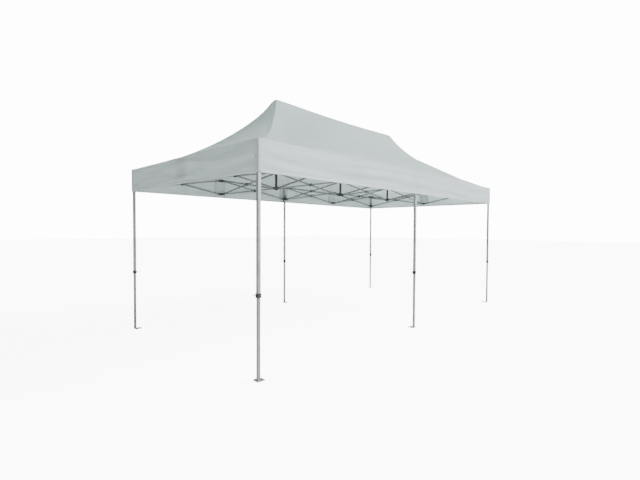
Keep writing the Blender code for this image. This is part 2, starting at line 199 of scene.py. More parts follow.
class Nodes:
    """A material's node tree, with short calls for what the finishes here need."""

    def __init__(self, name):
        self.material = bpy.data.materials.new(name)
        self.material.use_nodes = True
        self.tree = self.material.node_tree
        self.shader = self.tree.nodes["Principled BSDF"]
        self.coordinates = self.tree.nodes.new("ShaderNodeTexCoord")

    def add(self, kind, inputs=(), **settings):
        node = self.tree.nodes.new(kind)
        for key, value in settings.items():
            setattr(node, key, value)
        for key, value in dict(inputs).items():
            if isinstance(value, bpy.types.NodeSocket):
                self.tree.links.new(value, node.inputs[key])
            else:
                node.inputs[key].default_value = value
        return node

    def noise(self, source, scale, detail=4.0, rough=0.55, stretch=(1, 1, 1)):
        mapped = self.add("ShaderNodeMapping", {"Vector": source, "Scale": stretch})
        node = self.add(
            "ShaderNodeTexNoise",
            {"Vector": mapped.outputs[0], "Scale": scale, "Detail": detail, "Roughness": rough},
        )
        return node.outputs["Fac"]

    def between(self, factor, low, high, start=0.3, end=0.7):
        """Numbers or colours from low to high as factor goes from start to end."""
        ramp = self.add("ShaderNodeValToRGB", {"Fac": factor})
        for element, place, value in zip(ramp.color_ramp.elements, (start, end), (low, high)):
            element.position = place
            element.color = (value,) * 3 + (1,) if isinstance(value, float) else (*value, 1)
        return ramp.outputs["Color"]

    def math(self, operation, *values):
        return self.add("ShaderNodeMath", enumerate(values), operation=operation).outputs[0]

    def mix(self, factor, first, second, how="MIX"):
        inputs = {"Factor": factor, 6: first, 7: second}  # 6 and 7 are the colour sockets
        return self.add("ShaderNodeMix", inputs, data_type="RGBA", blend_type=how).outputs[2]

    def bump(self, height, distance, strength=1.0, under=None):
        inputs = {"Height": height, "Distance": distance, "Strength": strength}
        if under is not None:
            inputs["Normal"] = under
        return self.add("ShaderNodeBump", inputs).outputs["Normal"]

    def to_shader(self, **inputs):
        for key, value in inputs.items():
            socket = self.shader.inputs[key.replace("_", " ")]
            if isinstance(value, bpy.types.NodeSocket):
                self.tree.links.new(value, socket)
            else:
                socket.default_value = value

    def to_surface(self, socket):
        self.tree.links.new(socket, self.tree.nodes["Material Output"].inputs["Surface"])


def aluminium(name, low, high, stretch, metallic):
    """Satin extruded aluminium, with die lines along it and dull smudges."""
    n = Nodes(name)
    place = n.coordinates.outputs["Object"]
    lines = n.noise(place, 60.0, 3.0, 0.6, stretch)
    smudges = n.noise(place, 9.0, 5.0, 0.6)
    n.to_shader(
        Base_Color=n.between(smudges, low, high),
        Roughness=n.between(smudges, 0.42, 0.30),
        Normal=n.bump(lines, 0.0004, 0.35),
        Metallic=metallic,
    )
    return n.material


def moulded_plastic(name):
    """Black nylon with a fine spark texture and rubbed high spots."""
    n = Nodes(name)
    place = n.coordinates.outputs["Object"]
    grain = n.noise(place, 900.0, 2.0)
    wear = n.noise(place, 35.0, 4.0)
    n.to_shader(
        Base_Color=n.between(wear, (0.012, 0.012, 0.013), (0.030, 0.030, 0.032)),
        Roughness=n.between(wear, 0.42, 0.60),
        Normal=n.bump(grain, 0.0003, 0.4),
    )
    return n.material


def zinc_plate(name):
    """Bright zinc with a fine spangle."""
    n = Nodes(name)
    spangle = n.noise(n.coordinates.outputs["Object"], 220.0, 3.0)
    n.to_shader(
        Base_Color=n.between(spangle, (0.50, 0.51, 0.52), (0.72, 0.72, 0.71)),
        Roughness=n.between(spangle, 0.22, 0.38),
        Metallic=1.0,
    )
    return n.material


def polyester(name, base, behind, share, stitches=()):
    """Coated white polyester that lets a share of the light through, with its weave.

    The UV map is in metres: U along the cloth's edge and V up from it. The stitches run along U
    at these places in V.
    """
    n = Nodes(name)
    place, uv = n.coordinates.outputs["Object"], n.coordinates.outputs["UV"]
    clouds = n.noise(place, 1.6, 4.0, 0.5)
    slubs = n.noise(uv, 90.0, 3.0, 0.6, (0.12, 1.0, 1.0))
    tone = n.between(clouds, tuple(c * 0.965 for c in base), base, 0.35, 0.65)
    tone = n.mix(0.35, tone, n.between(slubs, 0.90, 1.0, 0.25, 0.75), "MULTIPLY")
    weave = None
    for direction in ("X", "Y"):
        threads = n.add(
            "ShaderNodeTexWave",
            {"Vector": uv, "Scale": THREADS, "Distortion": 0.4, "Detail": 1.0},
            bands_direction=direction,
        )
        weave = n.bump(threads.outputs["Fac"], 0.00025, 0.25, weave)
    creases = n.noise(uv, 7.0, 3.0, 0.5, (0.25, 1.0, 1.0))
    normal = n.bump(creases, 0.004, 0.30, weave)
    if stitches:
        split = n.add("ShaderNodeSeparateXYZ", {0: uv})
        along = n.math("MULTIPLY", split.outputs[0], STITCHES_PER_METRE)
        dash = n.math("LESS_THAN", n.math("FRACT", along), STITCH_SHARE)
        rows = None
        for v in stitches:
            row = n.math("COMPARE", split.outputs[1], v, STITCH_HALF)
            rows = row if rows is None else n.math("MAXIMUM", rows, row)
        thread = n.math("MULTIPLY", rows, dash)
        tone = n.mix(thread, tone, THREAD_GREY)
        normal = n.bump(thread, 0.0006, 0.5, normal)
    n.to_shader(
        Base_Color=tone, Normal=normal, Roughness=0.62, Specular_IOR_Level=0.3, Sheen_Weight=0.15
    )
    glow = n.add("ShaderNodeBsdfTranslucent", {"Color": (*behind, 1), "Normal": normal})
    mix = n.add("ShaderNodeMixShader", {0: share, 1: n.shader.outputs[0], 2: glow.outputs[0]})
    n.to_surface(mix.outputs[0])
    return n.material


LEG_METAL = aluminium(
    "leg_aluminium", (0.22, 0.26, 0.25), (0.34, 0.38, 0.37), (1.0, 1.0, 0.01), 0.50
)
BAR_METAL = aluminium(
    "bar_aluminium", (0.16, 0.165, 0.165), (0.24, 0.245, 0.245), (1, 1, 1), 0.7
)
FOOT_METAL = aluminium("foot_aluminium", (0.20, 0.21, 0.21), (0.30, 0.31, 0.31), (1, 1, 1), 0.6)
PLASTIC = moulded_plastic("black_nylon")
ZINC = zinc_plate("zinc_fittings")
ROOF_CLOTH = polyester("roof_polyester", CLOTH_WHITE, CLOTH_BEHIND, 0.64, (0.004, 0.010))
VALANCE_CLOTH = polyester("valance_polyester", CLOTH_WHITE, CLOTH_BEHIND, 0.42)
HEM_CLOTH = polyester("hem_polyester", CLOTH_WHITE, CLOTH_BEHIND, 0.20, (0.020,))
SHADED_PATCH_CLOTH = polyester("shaded_patch_polyester", PATCH_SHADED_WHITE, CLOTH_BEHIND, 0.30, (0.006,))
SHADED_WEBBING_CLOTH = polyester("shaded_webbing_polyester", WEBBING_SHADED_GREY, WEBBING_SHADED_BEHIND, 0.20, (0.003, 0.022))


# --------------------------------------------------------------- mesh building


def link(obj):
    """Puts a new object in the scene."""
    bpy.context.scene.collection.objects.link(obj)
    return obj


class Shells:
    """Closed shells gathered into one mesh, each with the number of its material."""

    def __init__(self):
        self.verts, self.faces, self.slots = [], [], []

    def add(self, verts, faces, slot=0):
        base = len(self.verts)
        self.verts += [Vector(v) for v in verts]
        self.faces += [[base + k for k in face] for face in faces]
        self.slots += [slot] * len(faces)
        return self

    def prism(self, outline, low, high, axes=(X, Y, Z), slot=0, at=(0, 0, 0)):
        """An outline, anticlockwise in the first two axes, pushed out along the third."""
        a, b, c = axes
        count = len(outline)
        rings = [[Vector(at) + a * x + b * y + c * h for x, y in outline] for h in (low, high)]
        sides = [(k, (k + 1) % count, count + (k + 1) % count, count + k) for k in range(count)]
        caps = [tuple(reversed(range(count))), tuple(range(count, 2 * count))]
        return self.add([p for ring in rings for p in ring], sides + caps, slot)

    def tube(self, outside, inside, low, high, slot=0, at=(0, 0, 0)):
        """A hollow prism along Z. Both outlines have the same number of points."""
        count = len(outside)
        rings = [
            [Vector((x, y, h)) + Vector(at) for x, y in outline]
            for outline, h in ((outside, low), (outside, high), (inside, high), (inside, low))
        ]
        faces = []
        for r in range(4):
            for k in range(count):
                n, s = (k + 1) % count, (r + 1) % 4
                faces.append((r * count + k, r * count + n, s * count + n, s * count + k))
        return self.add([p for ring in rings for p in ring], faces, slot)

    def rod(self, start, end, radius, sides=16, slot=0):
        start, end = Vector(start), Vector(end)
        axis = (end - start).normalized()
        side = axis.orthogonal().normalized()
        axes = (side, axis.cross(side), axis)
        return self.prism(circle(radius, sides), 0, (end - start).length, axes, slot, start)

    def build(self, name, materials, bevel=0.0):
        mesh = bpy.data.meshes.new(name)
        mesh.from_pydata(self.verts, [], self.faces)
        for each in materials:
            mesh.materials.append(each)
        mesh.polygons.foreach_set("material_index", self.slots)
        mesh.shade_smooth()
        mesh.set_sharp_from_angle(angle=math.radians(32))
        obj = link(bpy.data.objects.new(name, mesh))
        if bevel:
            soften = obj.modifiers.new("Edges", "BEVEL")
            soften.width, soften.segments, soften.limit_method = bevel, 2, "ANGLE"
            soften.angle_limit = math.radians(40)
            soften.harden_normals = True
        return obj


def circle(radius, sides):
    angles = [2 * math.pi * k / sides for k in range(sides)]
    return [(radius * math.cos(a), radius * math.sin(a)) for a in angles]


def rounded(half_a, half_b, radius, steps=4):
    """A rectangle about the origin with round corners."""
    points = []
    for quarter, (sa, sb) in enumerate(((1, 1), (-1, 1), (-1, -1), (1, -1))):
        for k in range(steps + 1):
            angle = math.radians(90 * (quarter + k / steps))
            points.append(
                (
                    sa * (half_a - radius) + radius * math.cos(angle),
                    sb * (half_b - radius) + radius * math.sin(angle),
                )
            )
    return points


def grooved(half, radius, grooves, width, depth):
    """A square with round corners and shallow grooves along each face, at these places."""
    quarter, inset = [], half - radius
    for k in range(5):
        angle = math.radians(90 * k / 4)
        quarter.append((inset + radius * math.cos(angle), inset + radius * math.sin(angle)))
    for place in grooves:
        for shift, sunk in ((width, 0), (width * 0.5, depth), (-width * 0.5, depth), (-width, 0)):
            quarter.append((place + shift, half - sunk))
    points = []
    for turn in range(4):
        c, s = round(math.cos(turn * math.pi / 2)), round(math.sin(turn * math.pi / 2))
        points += [(c * x - s * y, s * x + c * y) for x, y in quarter]
    return points


def scaled(outline, share):
    return [(x * share, y * share) for x, y in outline]


def torus_points(centre, first, second, third, major, minor, around, across):
    """Points of a ring in the plane of the first two axes, one small circle after another."""
    points = []
    for a in range(around):
        angle = 2 * math.pi * a / around
        spoke = first * math.cos(angle) + second * math.sin(angle)
        for c in range(across):
            swing = 2 * math.pi * c / across
            reach = major + minor * math.cos(swing)
            points.append(centre + spoke * reach + third * minor * math.sin(swing))
    return points


def torus_faces(around, across, inwards=False):
    """Faces for torus_points, outwards where the third axis is second x first."""
    faces = []
    for a in range(around):
        for c in range(across):
            b, d = (a + 1) % around, (c + 1) % across
            face = (a * across + c, a * across + d, b * across + d, b * across + c)
            faces.append((face[0], *reversed(face[1:])) if inwards else face)
    return faces


def grid_point(ij, z=0.0):
    return Vector((ij[0] * UNIT - HALF_X, ij[1] * UNIT - HALF_Y, z))


def finish_piece(obj, body, nodes=(), squash=None):
    """Puts a piece on its body, hides the parts it stands for, and gives it its own mesh if a
    squash is given.
    """
    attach(obj, body)
    if nodes:
        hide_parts(*nodes)
    if squash:
        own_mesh(obj)
    return obj


SQUASH_Y = ((0, 1, 0), FRONT_ROW)
SQUASH_X = ((1, 0, 0), LEFT_ROW)

# ------------------------------------------------------------------ camera first


CAMERA_PLACE = (-5.282, -4.481, 1.4775)
CAMERA_TURN = (43.25, -1.50, 0.27)  # yaw from +X, pitch and roll, in degrees
LENS, SENSOR = 22.01, 36.0


def add_camera():
    yaw, pitch, roll = (math.radians(a) for a in CAMERA_TURN)
    forward = Vector(
        (math.cos(pitch) * math.cos(yaw), math.cos(pitch) * math.sin(yaw), math.sin(pitch))
    )
    right = Vector((math.sin(yaw), -math.cos(yaw), 0))
    up = right.cross(forward)
    turned_right = right * math.cos(roll) + up * math.sin(roll)
    turned_up = turned_right.cross(forward)
    camera = link(bpy.data.objects.new("camera", bpy.data.cameras.new("camera")))
    camera.matrix_world = Matrix.Translation(CAMERA_PLACE) @ (
        Matrix((turned_right, turned_up, -forward)).transposed().to_4x4()
    )
    camera.data.sensor_width = SENSOR
    camera.data.lens = LENS
    bpy.context.scene.camera = camera


# ------------------------------------------------------------------------ truss


def bar_mesh(outer):
    """A bar along +X from its first pivot, +Y out of its row, with nylon ends and a boss."""
    side = 1 if outer else -1
    near, far = sorted((side * BAR_GAP, side * (BAR_GAP + BAR_THICK)))
    middle = (near + far) / 2
    shells = Shells()
    shells.prism(
        rounded(BAR_THICK / 2, BAR_HEIGHT / 2, 0.0028, 3),
        BAR_END - BAR_LAP,
        BAR_LENGTH - BAR_END + BAR_LAP,
        (Y, Z, X),
        0,
        (0, middle, 0),
    )
    for at, away in ((0.0, 1), (BAR_LENGTH, -1)):
        tip = []
        for k in range(9):  # the round end, then back to the tube
            angle = math.radians(90 + 180 * k / 8)
            tip.append((math.cos(angle) * BAR_HEIGHT / 2, math.sin(angle) * BAR_HEIGHT / 2))
        tip.append((BAR_END, -BAR_HEIGHT / 2 - BAR_END_PROUD))
        tip.append((BAR_END, BAR_HEIGHT / 2 + BAR_END_PROUD))
        tip = [(at + away * x, z) for x, z in tip]
        if away < 0:
            tip.reverse()
        # X and Z seen along -Y run anticlockwise
        shells.prism(tip, -far, -near, (X, Z, -Y), 1)
    face, boss = (far, BOSS_DEPTH) if outer else (near, -BOSS_DEPTH)
    centre, cap = Vector((BAR_LENGTH / 2, face, 0)), Vector((BAR_LENGTH / 2, face + boss, 0))
    shells.rod(centre, cap, BOSS_RADIUS, 24, 1)
    shells.rod(cap, (BAR_LENGTH / 2, face + 1.3 * boss, 0), NUT_RADIUS, 6, 2)
    return shells.build("bar", (BAR_METAL, PLASTIC, ZINC), 0.0006)


def bar_matrix(start, end, out):
    """Lays a bar from its first pivot to its second, with its +Y on the way out of its row."""
    along = (end - start).normalized()
    out = Vector((*out, 0))
    return (
        Matrix.Translation(start) @ Matrix((along, out, along.cross(out))).transposed().to_4x4()
    )


def add_truss():
    """Every bar: those on the outline, and copies of them for the rows inside it."""
    patterns = {True: bar_mesh(True), False: bar_mesh(False)}
    up, low = Vector((0, 0, TOP_Z)), Vector((0, 0, LOW_Z))
    for side, (first, step, units, out) in SIDES.items():
        for k in range(units):
            ends = [(first[0] + step[0] * n, first[1] + step[1] * n) for n in (k, k + 1)]
            leg, mid = ends if ends[0] in LEGS else reversed(ends)
            along = (grid_point(mid) - grid_point(leg)).normalized()
            leg_end = grid_point(leg) + along * LEG_PIVOT
            mid_end = grid_point(mid) - along * MID_PIVOT
            # each row inside the outline is a copy of the front's or the left side's bars
            copies = [("", Vector(ORIGIN), None)]
            if side == "front":
                copies.append(("centre", Y * UNIT, SQUASH_Y))
            if side == "left":
                copies += [(f"cross_{i}", X * UNIT * i, SQUASH_X) for i in (1, 2, 3)]
            for outer in (True, False):
                kind = "outer" if outer else "inner"
                body = f"{side}_{k + 1}_{kind}_bar"
                start = leg_end + (up if outer else low)
                end = mid_end + (low if outer else up)
                for row, offset, squash in copies:
                    piece = link(patterns[outer].copy())
                    piece.name = f"{row or side}_{k + 1}_{kind}_scissor"
                    piece.matrix_world = Matrix.Translation(offset) @ bar_matrix(start, end, out)
                    finish_piece(piece, body, () if row else (body,), squash)
    for pattern in patterns.values():
        bpy.data.objects.remove(pattern)


# ---------------------------------------------------------- brackets, connectors


def arms_at(ij, upper):
    """The arms of a connector: way, way out of the row, pivot and whether it holds an outer bar."""
    i, j = ij
    arms = []
    for way in ((1, 0), (-1, 0), (0, 1), (0, -1)):
        a, b = i + way[0], j + way[1]
        if not (0 <= a <= 4 and 0 <= b <= 2):
            continue
        if way[0]:  # a row along X
            out, leg_end = ((0, 1) if j == 2 else (0, -1)), i % 2 == 0
        else:
            out, leg_end = ((1, 0) if i == 4 else (-1, 0)), j % 2 == 0
        arms.append((way, out, LEG_PIVOT if leg_end else MID_PIVOT, leg_end == upper))
    return arms


def add_arms(shells, ij, z, half, upper):
    """A pair of round-tipped ears and a bolt for each bar that meets at this point."""
    at = grid_point(ij, z)
    tall = CONNECTOR_HEIGHT / 2
    for way, out, pivot, outer in arms_at(ij, upper):
        way, out = Vector((*way, 0)), Vector((*out, 0))
        near, far = BAR_GAP - EAR_GAP, BAR_GAP + BAR_THICK + EAR_GAP
        spans = [(near - EAR_THICK, near), (far, far + EAR_THICK)]
        if not outer:
            spans = [(-b, -a) for a, b in reversed(spans)]
        start, tip = half - EAR_LAP, pivot + EAR_PAST_PIVOT - EAR_CORNER
        outline = [(start, -tall), (tip, -tall)]
        for k in range(1, 6):
            angle = math.radians(-90 + 180 * k / 6)
            outline.append((tip + EAR_CORNER * math.cos(angle), tall * math.sin(angle)))
        outline += [(tip, tall), (start, tall)]
        third = way.cross(Z)  # the outline runs anticlockwise about it
        for a, b in spans:
            low, high = (-b, -a) if third.dot(out) < 0 else (a, b)
            shells.prism(outline, low, high, (way, Z, third), 0, at)
        bolt = at + way * pivot
        inside, outside = spans[0][0] - BOLT_PROUD, spans[1][1] + BOLT_PROUD
        shells.rod(bolt + out * inside, bolt + out * outside, BOLT_RADIUS, 8, 1)


def connector(name, ij, z, half, height, bore, upper, body, nodes=(), squash=None):
    """A moulded connector: a block, bored if something passes through it, and its ears."""
    shells = Shells()
    at = grid_point(ij, z)
    outline = rounded(*half, 0.004)
    if bore:
        shells.tube(outline, rounded(bore, bore, 0.0015), -height / 2, height / 2, 0, at)
    else:
        shells.prism(outline, -height / 2, height / 2, slot=0, at=at)
    add_arms(shells, ij, z, min(half), upper)
    piece = shells.build(name, (PLASTIC, ZINC), 0.0009)
    return finish_piece(piece, body, nodes, squash)


def leg_turn(ij):
    """Turns +Y to the side of the leg that has the pull pin."""
    corners = {(0, 0): 0, (4, 0): 90, (4, 2): 180, (0, 2): 270}
    return Matrix.Rotation(math.radians(corners.get(ij, 0 if ij[1] == 0 else 180)), 3, "Z")


def add_connectors():
    tall = CONNECTOR_HEIGHT
    for ij, name in MIDS.items():
        half = (MID_THIN, MID_WIDE) if ij[1] != 1 else (MID_WIDE, MID_THIN)
        for level, z in (("upper", TOP_Z), ("lower", LOW_Z)):
            node = f"{level}_connector_{name}"
            connector(f"{node}_moulding", ij, z, half, tall, 0, level == "upper", node, (node,))
    for ij, name in LEGS.items():
        node, half = f"slider_{name}", (SLIDER_HALF, SLIDER_HALF)
        connector(
            f"{node}_moulding", ij, LOW_Z, half, SLIDER_HEIGHT, SLIDER_BORE, False, node, (node,)
        )
        # the lock's thumb lever stands up beside the leg
        lever, pin = Shells(), leg_turn(ij) @ Y
        size = (LEVER_LONG, LEVER_SHORT) if abs(pin.y) > 0.5 else (LEVER_SHORT, LEVER_LONG)
        face = grid_point(ij, LOW_Z) + pin * LEVER_OUT
        lever.prism(rounded(*size, 0.002), LEVER_LOW, LEVER_HIGH, at=face)
        finish_piece(lever.build(f"{node}_lever", (PLASTIC,), 0.0008), node)
    hub = (HUB_HALF, HUB_HALF)
    for ij, name, above, below, squash_below in (
        ((1, 1), "left", "upper_connector_front_left_mid", "peak_mast_left", None),
        ((3, 1), "right", "upper_connector_front_right_mid", "peak_mast_right", None),
        ((2, 1), "middle", "outer_leg_front_middle", "slider_front_middle", SQUASH_Y),
    ):
        connector(f"upper_hub_{name}", ij, TOP_Z, hub, tall, HUB_BORE, True, above, (), SQUASH_Y)
        connector(f"lower_hub_{name}", ij, LOW_Z, hub, tall, 0, False, below, (), squash_below)


# ------------------------------------------------------------------------- legs


def add_outer_legs():
    profile = grooved(OUTER_HALF, 0.003, (0.0065, -0.0065), 0.0016, 0.0007)
    bore = scaled(profile, OUTER_BORE / OUTER_HALF)
    cover = rounded(BRACKET_HALF, BRACKET_HALF, 0.0035)
    cover_bore = rounded(BRACKET_BORE, BRACKET_BORE, 0.0015)
    rim = rounded(COLLAR_HALF, COLLAR_HALF, 0.004)
    rim_low = rounded(COLLAR_BORE_LOW, COLLAR_BORE_LOW, 0.001)
    rim_high = rounded(COLLAR_BORE_HIGH, COLLAR_BORE_HIGH, 0.001)
    top, low = TOP_Z + CONNECTOR_HEIGHT / 2, OUTER_BOTTOM_Z
    for ij, name in LEGS.items():
        at, body = grid_point(ij), f"outer_leg_{name}"
        pin, side = leg_turn(ij) @ Y, leg_turn(ij) @ X

        tube = Shells().tube(profile, bore, low, OUTER_TOP_Z, 0, at)
        finish_piece(tube.build(f"leg_tube_{name}", (LEG_METAL,)), body, (body,))

        bracket = Shells()
        bracket.tube(cover, cover_bore, TOP_Z - CONNECTOR_HEIGHT / 2, top - LID, 0, at)
        bracket.prism(cover, top - LID - 0.0005, top, slot=0, at=at)
        add_arms(bracket, ij, TOP_Z, BRACKET_HALF, True)
        piece = bracket.build(f"leg_bracket_{name}", (PLASTIC, ZINC), 0.0009)
        finish_piece(piece, body)

        collar = Shells()
        step = low + COLLAR_STEP
        collar.tube(rim, rim_low, low + COLLAR_DOWN, step, 0, at)
        collar.tube(rim, rim_high, step, low + COLLAR_UP, 0, at)
        base = at + Z * low
        start, end, radius = PIN_BOSS
        collar.rod(base + pin * start, base + pin * end, radius, 20, 0)
        for s in (-1, 1):
            screw = base + Z * SCREW_UP + side * (s * SCREW_OUT)
            collar.rod(screw, screw + side * (s * SCREW_PROUD), SCREW_RADIUS, 8, 1)
        piece = collar.build(f"leg_collar_{name}", (PLASTIC, ZINC), 0.0008)
        finish_piece(piece, body)

        ring = Shells()
        start, end, radius = PIN_STEM
        ring.rod(base + pin * start, base + pin * end, radius, 16, 0)
        centre = base + pin * PULL_RING_OUT
        ring.add(torus_points(centre, pin, side, Z, *PULL_RING, 28, 8), torus_faces(28, 8))
        finish_piece(ring.build(f"pull_ring_{name}", (ZINC,)), body)


def plate(shells, outlines, low, high, at, slot=0):
    """A flat plate along Z with holes: the first outline is outside, the others are holes."""
    shape = bmesh.new()
    for outline in outlines:
        verts = [shape.verts.new((x, y, 0)) for x, y in outline]
        for a, b in zip(verts, verts[1:] + verts[:1]):
            shape.edges.new((a, b))
    bmesh.ops.triangle_fill(shape, use_beauty=True, edges=shape.edges)
    shape.verts.index_update()
    flat = [v.co.copy() for v in shape.verts]
    up = [[v.index for v in face.verts] for face in shape.faces]
    for face in up:
        a, b, c = (flat[k] for k in face[:3])
        if (b - a).cross(c - a).z < 0:
            face.reverse()
    count = len(flat)
    verts = [Vector((p.x, p.y, h)) + Vector(at) for h in (low, high) for p in flat]
    faces = [list(reversed(f)) for f in up] + [[k + count for k in f] for f in up]
    start = 0
    for n, outline in enumerate(outlines):
        size = len(outline)
        for k in range(size):
            a, b = start + k, start + (k + 1) % size
            faces.append((a, b, b + count, a + count) if n == 0 else (b, a, a + count, b + count))
        start += size
    shape.free()
    return shells.add(verts, faces, slot)


def add_inner_legs():
    tube_out = grooved(INNER_HALF, 0.0025, (0.005, -0.005), 0.0014, 0.0005)
    tube_in = scaled(tube_out, INNER_BORE / INNER_HALF)
    weld = rounded(INNER_HALF + WELD_OUT, INNER_HALF + WELD_OUT, 0.004)
    near, far, half = -OUTER_HALF, FOOT_SIZE - OUTER_HALF, FOOT_SIZE / 2
    centre, peg = (near + far) / 2, far - PEG_INSET
    for ij, name in LEGS.items():
        body = f"inner_leg_{name}"
        corner = ij[0] != 2
        middle = Vector((centre if corner else 0, centre))
        outline = [(x + middle.x, y + middle.y) for x, y in rounded(half, half, 0.010)]
        pegs = [(peg, peg)] if corner else [(s * (half - PEG_INSET), peg) for s in (-1, 1)]
        holes = [[(x + px, y + py) for x, y in circle(PEG_RADIUS, 20)] for px, py in pegs]
        shells = Shells()
        plate(shells, [outline, *holes], 0, FOOT_THICK, (0, 0, 0), 1)
        shells.tube(tube_out, tube_in, FOOT_THICK, INNER_TOP_Z, 0)
        # the weld bead where the tube meets its plate
        shells.tube(weld, scaled(weld, 0.86), FOOT_THICK, FOOT_THICK + WELD_HEIGHT, 1)
        # painted shade: flat dark discs stand for the shadowed height holes, on the side of the
        # pull pin
        for z in HOLE_SHADE_HEIGHTS:
            sunk, proud = (0, INNER_HALF - 0.0004, z), (0, INNER_HALF + 0.0002, z)
            shells.rod(sunk, proud, HOLE_SHADE_RADIUS, 16, 2)
        piece = shells.build(f"leg_foot_{name}", (LEG_METAL, FOOT_METAL, PLASTIC), 0.0005)
        piece.matrix_world = Matrix.Translation(grid_point(ij)) @ leg_turn(ij).to_4x4()
        finish_piece(piece, body, (body,))


def dome(profile, sides, at):
    """A closed turned shape: a stack of circles at these heights and radii, capped at both ends."""
    verts, faces = [], []
    for height, radius in profile:
        verts += [at + Vector((x, y, height)) for x, y in circle(radius, sides)]
    for r in range(len(profile) - 1):
        low, high = r * sides, (r + 1) * sides
        for k in range(sides):
            n = (k + 1) % sides
            faces.append((low + k, low + n, high + n, high + k))
    faces.append(tuple(reversed(range(sides))))
    faces.append(tuple(range((len(profile) - 1) * sides, len(profile) * sides)))
    return verts, faces


def add_masts():
    top = PEAK_Z - 0.006
    profile = rounded(MAST_HALF, MAST_HALF, 0.002)
    wall = scaled(profile, MAST_WALL)
    sleeve = rounded(SLEEVE_HALF, SLEEVE_HALF, 0.004)
    sleeve_bore = rounded(SLEEVE_BORE, SLEEVE_BORE, 0.0016)
    foot = rounded(MAST_FOOT_HALF, MAST_FOOT_HALF, 0.003)
    bottom, sleeve_low, sleeve_high = LOW_Z + 0.016, LOW_Z + 0.018, TOP_Z - 0.020
    for ij, name in (((1, 1), "left"), ((3, 1), "right")):
        at, body = grid_point(ij), f"peak_mast_{name}"
        mast = Shells()
        mast.tube(profile, wall, bottom, top - 0.012, 0, at)
        mast.prism(foot, LOW_Z - 0.028, LOW_Z - 0.016, slot=1, at=at)
        mast.tube(sleeve, sleeve_bore, sleeve_low, sleeve_high, 1, at)
        mast.add(*dome([(top - CAP_DOWN + h, r) for h, r in CAP_PROFILE], 24, at), 1)
        piece = mast.build(f"mast_{name}", (BAR_METAL, PLASTIC), 0.0005)
        finish_piece(piece, body, (body,))
    at, post = grid_point((2, 1)), Shells()
    post.tube(profile, wall, bottom, TOP_Z + 0.030, 0, at)
    post.tube(sleeve, sleeve_bore, sleeve_low, sleeve_high, 1, at)
    piece = post.build("centre_post", (BAR_METAL, PLASTIC), 0.0005)
    finish_piece(piece, "slider_front_middle", (), SQUASH_Y)


# ----------------------------------------------------------------------- canopy


def hip_rise(t):
    """Height along a hip from the eave, 0, to the peak, 1: slack low down and steep at the top."""
    return 0.43 * t + 0.49 * t**2.5 + 0.08 * t**16


def middle_rise(t):
    """Height along the middle of a long slope, which the ridge holds almost flat."""
    return 0.88 * t + 0.12 * t**2


def roof_height(inset, from_hip):
    """The cloth's height this far in from the eave, measured level, and this far from the hip."""
    t = min(inset / (DEPTH - PEAK_FLAT), 1.0)
    near_hip = math.exp(-((from_hip / HIP_REACH) ** 2))
    rise = near_hip * hip_rise(t) + (1 - near_hip) * middle_rise(t)
    return EAVE_Z + (PEAK_Z - EAVE_Z) * rise - RIDGE_SAG * (1 - near_hip) * t**6


def ease(value, low, high):
    """From 0 at low to 1 at high, with a smooth start and stop."""
    share = min(max((value - low) / (high - low), 0.0), 1.0)
    return share * share * (3 - 2 * share)


def slope_ripple(x, inset, from_hip, seed):
    """The cloth's soft unevenness, in metres, none at the eave, the hips and the ridge."""
    fade = ease(inset, 0.0, 0.25) * ease(DEPTH - inset, 0.0, 0.35) * ease(from_hip, 0.0, 0.30)
    soft = noise.noise(Vector((x * 0.9, inset * 1.7, seed))) * 0.030
    fine = noise.noise(Vector((x * 2.6, inset * 5.0, seed + 7))) * 0.010
    return fade * (soft + fine)


def valance_ripple(x, drop, half, seed):
    """How far the valance stands out: long soft folds that run almost level and sag mid-bay."""
    share = abs(x) / half
    level = drop + 0.035 * math.cos(share * math.pi * 1.5)
    fade = ease(half - abs(x), 0.0, 0.30) * ease(drop, 0.0, 0.10)
    folds = noise.noise(Vector((x * 0.55, level * 13.0, seed))) * 0.028
    fine = noise.noise(Vector((x * 1.9, level * 30.0, seed + 3))) * 0.008
    # a soft floor at zero: the cloth never goes in far enough to meet the bars behind it
    soft, level_out = 0.004, 0.008
    return fade * soft * math.log(1 + math.exp((folds + fine + level_out) / soft))


def evenly(low, span, count):
    """Places from low, over this span, in this many steps."""
    return [low + span * k / count for k in range(count + 1)]


def centred(middle, half, count):
    """Places from half below the middle to half above it, in this many steps."""
    return [middle + half * (2 * k / count - 1) for k in range(count + 1)]


def spread(half, count):
    """Places across a slope, closer towards its hips, with the edges of both seams."""
    inner = half - SEAM
    if inner < 0.03:
        return centred(0, half, count)
    core, steps = inner - 0.0012, count - 4
    places = []
    for k in range(steps + 1):
        share = 2 * k / steps - 1
        places.append(core * (0.6 * share + 0.4 * math.sin(math.radians(90) * share)))
    return [-half, -inner, *places, inner, half]


def cloth_piece(name, rows, uvs, finish, thickness=CLOTH):
    """A sheet from rows of points, each as long as the last, with a UV map in metres."""
    width = len(rows[0])
    points = [p for row in rows for p in row]
    faces = [
        (r * width + k, r * width + k + 1, (r + 1) * width + k + 1, (r + 1) * width + k)
        for r in range(len(rows) - 1)
        for k in range(width - 1)
    ]
    mesh = bpy.data.meshes.new(name)
    mesh.from_pydata(points, [], faces)
    mesh.materials.append(finish)
    layer = mesh.uv_layers.new(name="Cloth")
    flat = [p for row in uvs for p in row]
    for loop in mesh.loops:
        layer.data[loop.index].uv = flat[loop.vertex_index]
    mesh.shade_smooth()
    obj = link(bpy.data.objects.new(name, mesh))
    thicken = obj.modifiers.new("Cloth", "SOLIDIFY")
    thicken.thickness, thicken.offset = thickness, -1.0
    return obj


